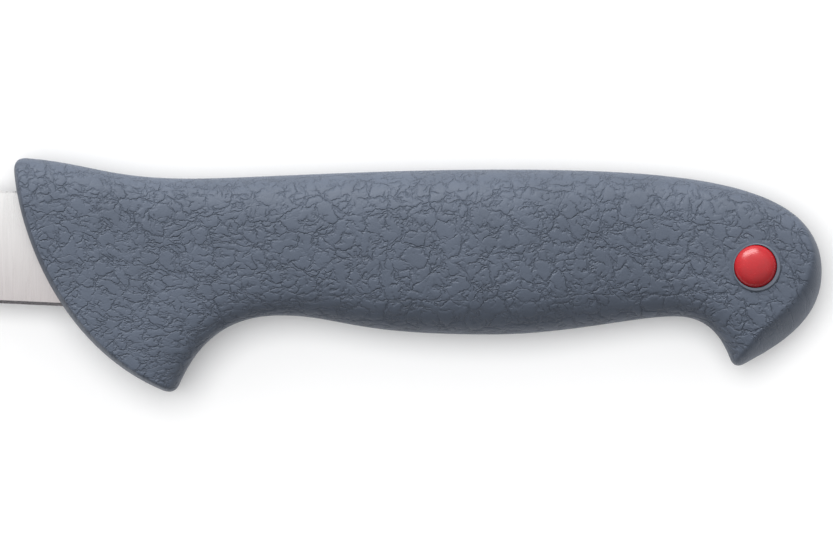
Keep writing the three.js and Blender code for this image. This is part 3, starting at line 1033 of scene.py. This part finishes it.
@dataclass
class GripSkin:
    """The soft skin: its form on a fine grid, pressed with grain, and open round the sockets."""

    place: Placement
    button: Vector
    form: GripForm = field(default_factory=GripForm)
    finish: SoftGrip = field(default_factory=SoftGrip)
    long_steps: int = 400
    high_steps: int = 112
    end_crowding: float = 0.2
    hole_steps: int = 128
    crease_degrees: float = 50.0
    back_fade: Fade = Fade(0.3, 0.5, 6.0)
    belly_fade: Fade = Fade(0.25, 0.5, 5.0)
    front_fade: Fade = Fade(0.0, 0.0, 0.7)
    button_fade: Fade = Fade(0.0, 4.2, 4.8)
    slope_fade: Fade = Fade(0.3, 0.3, 1.2)
    PLACE = "grain_place"
    FADE = "grain_fade"

    def build(self) -> bpy.types.Object:
        """Makes the skin.

        Returns:
            The skin, with its finish.
        """
        skin = self._smooth_form()
        self._press_grain(skin)
        self._open_holes(skin)
        shade(skin, self.crease_degrees)
        wear(skin, self.finish)
        return skin

    def _smooth_form(self) -> bpy.types.Object:
        """The closed form before graining, with the grain's place and strength on its corners.

        Returns:
            The form.
        """
        even = np.linspace(0, 1, self.long_steps + 1)
        along = (1 - self.end_crowding) * even + self.end_crowding * cosine_steps(self.long_steps)
        along, up = np.meshgrid(along, cosine_steps(self.high_steps), indexing="ij")
        plane = self.form.plane(along, up)
        half = self.form.half_thickness(along, up)
        points, faces, rim = pillow(self.place, plane, half)

        surface = np.concatenate([plane, half[..., None]], -1)
        steps = np.linalg.norm(np.diff(surface, axis=1), axis=2)[:, ::-1]
        girth = np.pad(np.cumsum(steps, axis=1), ((0, 0), (1, 0)))[:, ::-1]
        fade = self._fade(along, up, plane, girth)
        places = np.vstack([
            np.stack([plane[..., 0], girth, 0 * girth], -1).reshape(-1, 3),
            np.stack([plane[..., 0], -girth, 0 * girth], -1)[~rim],
        ])
        fades = np.concatenate([fade.ravel(), fade[~rim]])

        skin = new_object("grip_skin_grained", points, faces)
        stored = skin.data.attributes.new(self.PLACE, "FLOAT_VECTOR", "POINT")
        stored.data.foreach_set("vector", places.astype(np.float32).ravel())
        stored = skin.data.attributes.new(self.FADE, "FLOAT", "POINT")
        stored.data.foreach_set("value", fades.astype(np.float32))
        return skin

    def _fade(self, along: np.ndarray, up: np.ndarray, plane: np.ndarray, girth: np.ndarray) -> np.ndarray:
        """How strongly the grain is pressed at each corner.

        Args:
            along: Shares of the length.
            up: Shares of the height.
            plane: Places in the blade plane.
            girth: Distance round the section from the back's edge.

        Returns:
            0 for smooth to 1 for full grain.
        """
        span = self.form.span(up)
        from_button = np.linalg.norm(plane - self.place.local(self.button), axis=-1)
        fade = self.back_fade.at(girth) * self.belly_fade.at(girth[:, :1] - girth)
        fade *= self.slope_fade.at((1 - along) * span / self.form.ridge_width(up))
        return fade * self.front_fade.at(along * span) * self.button_fade.at(from_button)

    def _press_grain(self, skin: bpy.types.Object) -> None:
        """Lowers the grooves of the grain into the form.

        Args:
            skin: The smooth form.
        """
        tree = bpy.data.node_groups.new("pressed_grain", "GeometryNodeTree")
        grain = self.finish.grain
        sizes = {"Groove": grain.groove, "Depth": grain.depth, "Cell": grain.large_cell}
        tree.interface.new_socket("Geometry", in_out="INPUT", socket_type="NodeSocketGeometry")
        sockets = {
            name: tree.interface.new_socket(name, in_out="INPUT", socket_type="NodeSocketFloat")
            for name in sizes
        }
        tree.interface.new_socket("Geometry", in_out="OUTPUT", socket_type="NodeSocketGeometry")

        graph = Graph(tree)
        given = graph.add("NodeGroupInput")
        at = graph.add("GeometryNodeInputNamedAttribute", {"Name": self.PLACE}, data_type="FLOAT_VECTOR")
        fade = graph.add("GeometryNodeInputNamedAttribute", {"Name": self.FADE}, data_type="FLOAT")
        height = grain.height(
            graph, at.outputs["Attribute"],
            given.outputs["Groove"], given.outputs["Depth"], given.outputs["Cell"],
        )
        lift = graph.math("MULTIPLY", graph.math("MULTIPLY", height, fade.outputs["Attribute"]), MM)
        offset = graph.scaled(graph.add("GeometryNodeInputNormal").outputs[0], lift)
        shift = {"Geometry": given.outputs["Geometry"], "Offset": offset}
        moved = graph.add("GeometryNodeSetPosition", shift)
        real = graph.add("GeometryNodeRealizeInstances", {"Geometry": moved.outputs[0]})
        coloured = graph.add(
            "GeometryNodeSetMaterial", {"Geometry": real.outputs[0], "Material": self.finish.material()},
        )
        graph.add("NodeGroupOutput", {"Geometry": coloured.outputs[0]})

        modifier = skin.modifiers.new("pressed_grain", "NODES")
        modifier.node_group = tree
        for name, size in sizes.items():
            modifier[sockets[name].identifier] = size
        bake_modifiers(skin)

    def _open_holes(self, skin: bpy.types.Object) -> None:
        """Cuts the hole that the sockets stand in.

        Args:
            skin: The grained skin.
        """
        centre = self.place.under(self.button) + Vector((*ButtonSocket.lean, 0)) * MM
        radius, reach = ButtonSocket.outer_radius, self.form.swell_thickness
        combine(skin, round_cutter("socket_hole", radius, reach, self.hole_steps, centre), "DIFFERENCE")


@dataclass
class ButtonSocket:
    """The smooth socket of one button: bore, seat and a raised lip that is wider towards the hook."""

    button: Vector
    middle: float
    seat: float
    top: float
    side: Side
    finish: HardGrey = field(default_factory=HardGrey)
    bore_radius: float = 2.6
    inner_radius: float = 3.74
    outer_radius: float = 4.1
    lean: Span = (0.23, -0.2)
    lip: float = 0.2
    inner_lip: float = 0.05
    crease_degrees: float = 40.0
    steps: int = 128
    lip_steps: int = 8

    def build(self) -> bpy.types.Object:
        """Makes the socket.

        Returns:
            The socket, with its finish.
        """
        turn = np.linspace(0, 2 * math.pi, self.steps, endpoint=False)
        rings = []
        for radius, height, leaning in self._profile():
            x = self.button.x + (radius * np.cos(turn) + leaning * self.lean[0]) * MM
            y = self.button.y + (radius * np.sin(turn) + leaning * self.lean[1]) * MM
            rings.append(np.stack([x, y, np.full_like(x, height)], -1))
        faces = ring_faces(len(rings), self.steps, closed=True)
        if self.side is Side.BACK:
            faces = [face[::-1] for face in faces]
        socket = new_object(f"button_socket_{self.side.name.lower()}", np.vstack(rings), faces)
        shade(socket, self.crease_degrees)
        wear(socket, self.finish)
        return socket

    def _profile(self) -> list[tuple[float, float, float]]:
        """Section of the socket: radius in millimetres, height in metres and share of the lean.

        Returns:
            The section, from the outer foot over the lip and the seat to the bore's foot.
        """
        up = self.side.value * MM
        turns = [math.pi / 2 * i / self.lip_steps for i in range(self.lip_steps + 1)]
        section = [(self.outer_radius, self.middle, 1.0)]
        for turn in turns:
            radius = self.outer_radius - self.lip * (1 - math.cos(turn))
            section.append((radius, self.top - self.lip * (1 - math.sin(turn)) * up, 1.0))
        for turn in turns:
            radius = self.inner_radius + self.inner_lip * (1 - math.sin(turn))
            section.append((radius, self.top - self.inner_lip * (1 - math.cos(turn)) * up, 0.0))
        section.append((self.inner_radius, self.seat, 0.0))
        section.append((self.bore_radius, self.seat, 0.0))
        section.append((self.bore_radius, self.middle, 0.0))
        return section


@dataclass
class HandleCore:
    """The hard core inside the skin, open where the sockets stand."""

    place: Placement
    button: Vector
    form: GripForm = field(default_factory=GripForm)
    finish: HardGrey = field(default_factory=HardGrey)
    wall: float = 2.2
    long_margin: float = 0.025
    high_margin: float = 0.08
    long_steps: int = 160
    high_steps: int = 40
    opening_radius: float = 4.0
    opening_steps: int = 64
    crease_degrees: float = 40.0

    def build(self) -> bpy.types.Object:
        """Makes the core.

        Returns:
            The core, with its finish.
        """
        along = np.linspace(self.long_margin, 1 - self.long_margin, self.long_steps + 1)
        up = self.high_margin + (1 - 2 * self.high_margin) * cosine_steps(self.high_steps)
        along, up = np.meshgrid(along, up, indexing="ij")
        half = np.maximum(self.form.half_thickness(along, up) - self.wall, 0.0)
        points, faces, _ = pillow(self.place, self.form.plane(along, up), half)
        core = new_object("hard_core", points, faces)
        reach, centre = self.form.swell_thickness, self.place.under(self.button)
        opening = round_cutter("socket_opening", self.opening_radius, reach, self.opening_steps, centre)
        combine(core, opening, "DIFFERENCE")
        shade(core, self.crease_degrees)
        wear(core, self.finish)
        return core


@dataclass
class ColourButton:
    """One red push-in button: domed head, split stem with a holding bead."""

    node: Node
    side: Side
    finish: RedGloss = field(default_factory=RedGloss)
    rim: float = 0.3
    dome: float = 2.0
    rim_round: float = 0.15
    stem_radius: float = 2.3
    stem_length: float = 6.0
    bead: float = 0.12
    bead_length: float = 1.4
    lead: float = 0.5
    slit: float = 0.8
    slit_depth: float = 3.6
    crease_degrees: float = 35.0
    steps: int = 128
    dome_steps: int = 24

    def build(self) -> bpy.types.Object:
        """Makes the button where its solid is.

        Returns:
            The button, with its finish.
        """
        low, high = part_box(self.node)
        seat = button_seat(self.side)
        radius = (high.x - low.x) / 2 / MM
        name = f"red_button_{self.side.name.lower()}"
        button = new_object(name, *lathe(self._profile(radius), self.steps, seat, self.side))
        combine(button, self._slit_cutter(seat), "DIFFERENCE")
        shade(button, self.crease_degrees)
        wear(button, self.finish)
        return button

    def _profile(self, radius: float) -> list[tuple[float, float]]:
        """Half section of the button.

        Args:
            radius: The head's radius.

        Returns:
            Radius and height in millimetres, from the stem's end to the dome's top.
        """
        stem, end = self.stem_radius, -self.stem_length
        profile = [
            (0.0, end), (stem - self.lead / 2, end), (stem + self.bead, end + self.lead),
            (stem + self.bead, end + self.bead_length - self.lead), (stem, end + self.bead_length),
            (stem, 0.0), (radius - self.rim_round, 0.0), (radius, self.rim_round),
        ]
        for i in range(self.dome_steps):
            angle = math.pi / 2 * i / self.dome_steps
            profile.append((radius * math.cos(angle), self.rim + self.dome * math.sin(angle)))
        profile.append((0.0, self.rim + self.dome))
        return profile

    def _slit_cutter(self, seat: Vector) -> bpy.types.Object:
        """The block that splits the stem.

        Args:
            seat: The seat's centre.

        Returns:
            The block.
        """
        half = np.array([self.slit / 2, 2 * self.stem_radius, self.slit_depth]) * MM
        centre = np.array(seat) - np.array([0, 0, self.side.value * self.stem_length * MM])
        signs = np.array([(x, y, z) for z in (-1, 1) for x, y in ((-1, -1), (1, -1), (1, 1), (-1, 1))])
        faces = [(3, 2, 1, 0), (4, 5, 6, 7), (0, 1, 5, 4), (1, 2, 6, 5), (2, 3, 7, 6), (3, 0, 4, 7)]
        return new_object("stem_slit", centre + signs * half, faces)


@dataclass
class Blade:
    """The ground blade with its spear point, and the hidden tang behind it."""

    place: Placement
    finish: GroundSteel = field(default_factory=GroundSteel)
    edge_finish: HonedSteel = field(default_factory=HonedSteel)
    bevel_tilt: Span = (0.8, 0.985)
    length: float = 160.0
    spine_rise: float = 9.57
    edge_drop: float = 9.7
    edge_taper: float = 2.6
    point_length: float = 46.0
    point_rise: float = 2.6
    spine_pull: float = 0.55
    edge_pull: float = 0.6
    grind_height: float = 11.0
    edge_bevel: float = 0.55
    edge_land: float = 0.5
    edge_width: float = 0.04
    spine_chamfer: float = 0.25
    tip_blunt: float = 0.15
    grind_end: float = 12.0
    grind_lap: float = 1.0
    root_depth: float = 17.0
    tang_height: float = 13.0
    tang_centre: float = -0.4
    hole_count: int = 3
    hole_diameter: float = 6.0
    hole_margin: float = 14.0
    crease_degrees: float = 8.0
    point_steps: int = 60
    curve_steps: int = 1200
    round_steps: int = 24

    def __post_init__(self) -> None:
        """Takes the thickness and the tang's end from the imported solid."""
        low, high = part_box(Node.BLADE)
        self.thickness = (high.z - low.z) / MM
        self.tang_end = (high.x - self.place.origin.x) / MM

    def build(self) -> bpy.types.Object:
        """Makes the blade.

        Returns:
            The blade, with its finish.
        """
        blade = self._ground_part()
        combine(blade, self._tang_plate(), "UNION")
        first, last = self.root_depth + self.hole_margin, self.tang_end - self.hole_margin
        for station in np.linspace(first, last, self.hole_count):
            combine(blade, self._hole(float(station)), "DIFFERENCE")
        shade(blade, self.crease_degrees)
        wear(blade, self.finish)
        self._hone(blade)
        return blade

    def _hone(self, blade: bpy.types.Object) -> None:
        """Gives the bevel along the edge its own finish, with painted shade.

        Args:
            blade: The finished blade.
        """
        blade.data.materials.append(self.edge_finish.material())
        low, high = self.bevel_tilt
        for face in blade.data.polygons:
            if low < abs(face.normal.z) < high and face.normal.y < 0:
                face.material_index = 1

    @property
    def shoulder(self) -> float:
        """Station where the point starts."""
        return self.point_length - self.length

    def _edge(self, x: float) -> float:
        """Height of the straight cutting edge at a station."""
        return -self.edge_drop - math.tan(math.radians(self.edge_taper)) * x

    def _stations(self) -> list[tuple[float, float, float]]:
        """Stations along the blade with the heights of back and edge there.

        Returns:
            Station, back and edge in millimetres.
        """
        shoulder = self.shoulder
        tip = np.array([-self.length, self.point_rise])

        def curve(start: float, pull: float, line: Callable[[float], float]) -> np.ndarray:
            """Points of a curve that runs on from a straight line and ends in the tip."""
            bend = shoulder - pull * self.point_length
            control = np.array([bend, line(bend)])
            t = np.linspace(0, 1, self.curve_steps)[:, None]
            return (1 - t) ** 2 * np.array([shoulder, start]) + 2 * t * (1 - t) * control + t**2 * tip

        spine = curve(self.spine_rise, self.spine_pull, lambda x: self.spine_rise)
        edge = curve(self._edge(shoulder), self.edge_pull, self._edge)
        stations = [(x, self.spine_rise, self._edge(x)) for x in (self.grind_end, -self.grind_end, shoulder)]
        for i in range(1, self.point_steps):
            x = shoulder - self.point_length * math.sin(math.pi / 2 * i / self.point_steps)
            heights = [float(np.interp(-x, -line[:, 0], line[:, 1])) for line in (spine, edge)]
            stations.append((x, *heights))
        return stations + [(-self.length, self.point_rise + self.tip_blunt, self.point_rise - self.tip_blunt)]

    def _section(self, spine: float, edge: float, full_height: float) -> list[tuple[float, float]]:
        """One section of the blade.

        Args:
            spine: Height of the back.
            edge: Height of the edge.
            full_height: Height of the blade where its point starts.

        Returns:
            Height and distance from the middle plane, going round.
        """
        thin = min(1.0, (spine - edge) / full_height)
        side, land, keen = (width / 2 * thin for width in (self.thickness, self.edge_land, self.edge_width))
        chamfer = self.spine_chamfer * thin
        grind = edge + min(self.grind_height, full_height - 2 * self.spine_chamfer) * thin
        bevel = edge + self.edge_bevel * thin
        half = [(spine, side - chamfer), (spine - chamfer, side), (grind, side), (bevel, land), (edge, keen)]
        return half + [(height, -distance) for height, distance in reversed(half)]

    def _ground_part(self) -> bpy.types.Object:
        """The ground blade, from its end inside the grip to the point.

        Returns:
            The closed solid.
        """
        full_height = self.spine_rise - self._edge(self.shoulder)
        rings = []
        for x, spine, edge in self._stations():
            section = np.array(self._section(spine, edge, full_height))
            places = np.stack([np.full(len(section), x), section[:, 0]], -1)
            rings.append(self.place.metres(places, section[:, 1]))
        count = len(rings[0])
        faces = [face[::-1] for face in ring_faces(len(rings), count)]
        faces.append(tuple(range(count)))
        faces.append(tuple(reversed(range((len(rings) - 1) * count, len(rings) * count))))
        return new_object("ground_blade", np.vstack(rings), faces)

    def _tang_plate(self) -> bpy.types.Object:
        """The root and tang, a flat plate with a round end.

        Returns:
            The closed solid.
        """
        top, bottom = self.spine_rise - self.spine_chamfer, -self.edge_drop + self.edge_bevel
        half = self.tang_height / 2
        start = self.grind_end - self.grind_lap
        turn = np.linspace(-math.pi / 2, math.pi / 2, self.round_steps)
        root, centre = self.root_depth, self.tang_centre
        outline = [(start, top), (start, bottom), (root, bottom), (root, centre - half)]
        outline += [
            (self.tang_end - half + half * math.cos(angle), centre + half * math.sin(angle)) for angle in turn
        ]
        outline += [(root, centre + half), (root, top)]
        return self._plate("tang_plate", np.array(outline), self.thickness / 2)

    def _hole(self, station: float) -> bpy.types.Object:
        """The cutter of one anchoring hole.

        Args:
            station: Where the hole is along the tang.

        Returns:
            The closed solid.
        """
        turn = np.linspace(0, 2 * math.pi, 2 * self.round_steps, endpoint=False)
        ring = np.stack([np.cos(turn), np.sin(turn)], -1) * self.hole_diameter / 2
        return self._plate("anchor_hole", ring + np.array([station, self.tang_centre]), self.thickness)

    def _plate(self, name: str, outline: np.ndarray, half: float) -> bpy.types.Object:
        """A flat plate on both sides of the middle plane.

        Args:
            name: The object's name.
            outline: Its outline, turning left.
            half: Half its thickness.

        Returns:
            The closed solid.
        """
        count = len(outline)
        low = self.place.metres(outline, np.full(count, -half))
        high = self.place.metres(outline, np.full(count, half))
        faces = ring_faces(2, count) + [tuple(reversed(range(count))), tuple(range(count, 2 * count))]
        return new_object(name, np.vstack([low, high]), faces)


@dataclass
class Studio:
    """Pale floor, soft light from the back's side, and a camera straight above the grip."""

    place: Placement
    pixels_per_mm: float = 5.84
    corner_px: float = 13.5
    axis_px: float = 247.2
    lens_mm: float = 1000.0
    sensor_mm: float = 36.0
    floor_size: float = 6.0
    floor_gap: float = 0.0002
    key_place: tuple[float, float, float] = (-0.22, 0.72, 0.48)
    key_size: Span = (0.8, 0.45)
    key_watts: float = 10.5
    overhead_place: tuple[float, float, float] = (-0.1, 0.08, 1.2)
    overhead_spread: float = 34.0
    overhead_strength: float = 2.2
    surroundings: Span = (0.55, 1.75)
    softness: float = 0.46
    horizon: float = 0.4
    horizon_span: Span = (0.3, 0.85)

    def build(self, pieces: Sequence[bpy.types.Object]) -> None:
        """Makes the floor, the lights, the world and the camera.

        Args:
            pieces: What the key light shines on.
        """
        floor = self._floor()
        self._hang(self._key(), self.key_place, pieces)
        self._hang(self._overhead(), self.overhead_place, [floor])
        self._world()
        self._camera()
        bpy.context.scene.view_settings.view_transform = "Standard"

    def _target(self) -> Vector:
        """The point under the middle of the photograph, in the blade plane."""
        across = (PHOTO_WIDTH_PX / 2 - self.corner_px) / self.pixels_per_mm
        up = (self.axis_px - PHOTO_HEIGHT_PX / 2) / self.pixels_per_mm
        return self.place.origin + Vector((across, up, 0.0)) * MM

    def _camera(self) -> None:
        """A long lens straight above, framed as the photograph is."""
        camera = bpy.data.cameras.new("camera")
        camera.lens = self.lens_mm
        camera.sensor_width = self.sensor_mm
        width = PHOTO_WIDTH_PX / self.pixels_per_mm * MM
        seen = bpy.data.objects.new("camera", camera)
        seen.location = self._target() + Vector((0, 0, width * self.lens_mm / self.sensor_mm))
        bpy.context.scene.collection.objects.link(seen)
        bpy.context.scene.camera = seen

    def _floor(self) -> bpy.types.Object:
        """A wide matt floor just under the knife.

        Returns:
            The floor.
        """
        half = self.floor_size / 2
        corners = [(-half, -half), (half, -half), (half, half), (-half, half)]
        floor = new_object("floor", np.array([(x, y, -self.floor_gap) for x, y in corners]), [(0, 1, 2, 3)])
        floor.data.materials.append(PaleFloor().material())
        return floor

    def _key(self) -> bpy.types.AreaLight:
        """The broad soft light that models the knife.

        Returns:
            The light.
        """
        light = bpy.data.lights.new("key", "AREA")
        light.shape = "RECTANGLE"
        light.size, light.size_y = self.key_size
        light.energy = self.key_watts
        return light

    def _overhead(self) -> bpy.types.SunLight:
        """The even light that whitens the floor, and leaves the knife's shadow on it.

        Returns:
            The light.
        """
        light = bpy.data.lights.new("overhead", "SUN")
        light.angle = math.radians(self.overhead_spread)
        light.energy = self.overhead_strength
        return light

    def _hang(
        self, light: bpy.types.Light, place: tuple[float, float, float],
        shines_on: Sequence[bpy.types.Object],
    ) -> None:
        """Hangs up a light that faces the middle of the picture.

        Args:
            light: The light.
            place: Where it is, from the middle of the picture.
            shines_on: The only objects that it lights.
        """
        lamp = bpy.data.objects.new(light.name, light)
        lamp.location = self._target() + Vector(place)
        lamp.rotation_euler = (-Vector(place)).to_track_quat("-Z", "Y").to_euler()
        bpy.context.scene.collection.objects.link(lamp)
        lit = bpy.data.collections.new(f"{light.name}_lit")
        for obj in shines_on:
            lit.objects.link(obj)
        lamp.light_linking.receiver_collection = lit

    def _world(self) -> None:
        """Surroundings that show as white, and light the knife more from its back's side."""
        world = bpy.data.worlds.new("surroundings")
        world.use_nodes = True
        world.node_tree.nodes.clear()
        graph = Graph(world.node_tree)
        towards = graph.add("ShaderNodeTexCoord").outputs["Generated"]
        parts = graph.add("ShaderNodeSeparateXYZ", {0: towards}).outputs
        glow = graph.ramp(parts["Y"], -1.0, 1.0, *self.surroundings, smooth=False)
        low_sky = graph.ramp(parts["Z"], *self.horizon_span, self.horizon, 1.0)
        rays = graph.add("ShaderNodeLightPath").outputs
        glow = graph.switch(rays["Is Glossy Ray"], glow, graph.math("MULTIPLY", glow, low_sky))
        share = graph.switch(rays["Is Diffuse Ray"], 1.0, self.softness)
        strength = graph.switch(rays["Is Camera Ray"], graph.math("MULTIPLY", glow, share), 1.0)
        light = graph.add("ShaderNodeBackground", {"Color": WHITE, "Strength": strength})
        graph.add("ShaderNodeOutputWorld", {"Surface": light.outputs[0]})
        bpy.context.scene.world = world


def settle(piece: bpy.types.Object, body: Body, slot: Slot, *nodes: Node) -> bpy.types.Object:
    """Lets a finished piece ride on its body, and reports it.

    Args:
        piece: The piece.
        body: The body it moves with.
        slot: The record's slot of its finish; not used.
        nodes: The solids that it stands for.

    Returns:
        The piece.
    """
    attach(piece, body.value)
    if nodes:
        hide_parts(*[node.value for node in nodes])
    log.info("%s: %d faces, rides on %s", piece.name, len(piece.data.polygons), body.value)
    return piece


def button_seat(side: Side) -> Vector:
    """Centre of the seat under a button's head.

    Args:
        side: The button's side.

    Returns:
        The centre, in metres.
    """
    low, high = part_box(Node.FRONT_BUTTON if side is Side.FRONT else Node.BACK_BUTTON)
    end = low.z if side is Side.FRONT else high.z
    height = end + side.value * ColourButton.stem_length * MM
    return Vector(((low.x + high.x) / 2, (low.y + high.y) / 2, height))


def find_placement() -> Placement:
    """The grip's frame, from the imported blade.

    Returns:
        Its place.
    """
    low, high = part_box(Node.BLADE)
    station, axis = low.x + Blade.length * MM, high.y - Blade.spine_rise * MM
    return Placement(Vector((station, axis, (low.z + high.z) / 2)))


def main() -> None:
    """Builds the pieces in order, and the studio round them."""
    logging.basicConfig(level=logging.INFO, format="%(name)s: %(message)s")
    place = find_placement()
    button = button_seat(Side.FRONT)
    core_low, core_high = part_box(Node.CORE)

    settle(Blade(place).build(), Body.KNIFE, Slot.STEEL, Node.BLADE)
    moulded = [
        settle(GripSkin(place, button).build(), Body.KNIFE, Slot.SOFT, Node.SKIN),
        settle(HandleCore(place, button).build(), Body.KNIFE, Slot.HARD, Node.CORE),
    ]
    for side, top in ((Side.FRONT, core_high.z), (Side.BACK, core_low.z)):
        seat = button_seat(side)
        socket = ButtonSocket(button, place.origin.z, seat.z, top, side)
        moulded.append(settle(socket.build(), Body.KNIFE, Slot.HARD))
    for node, body, side in (
        (Node.FRONT_BUTTON, Body.FRONT_BUTTON, Side.FRONT),
        (Node.BACK_BUTTON, Body.BACK_BUTTON, Side.BACK),
    ):
        moulded.append(settle(ColourButton(node, side).build(), body, Slot.RED, node))
    # The polished blade would mirror the key light as bare white at low angles
    Studio(place).build(moulded)


if __name__ == "__main__":
    main()
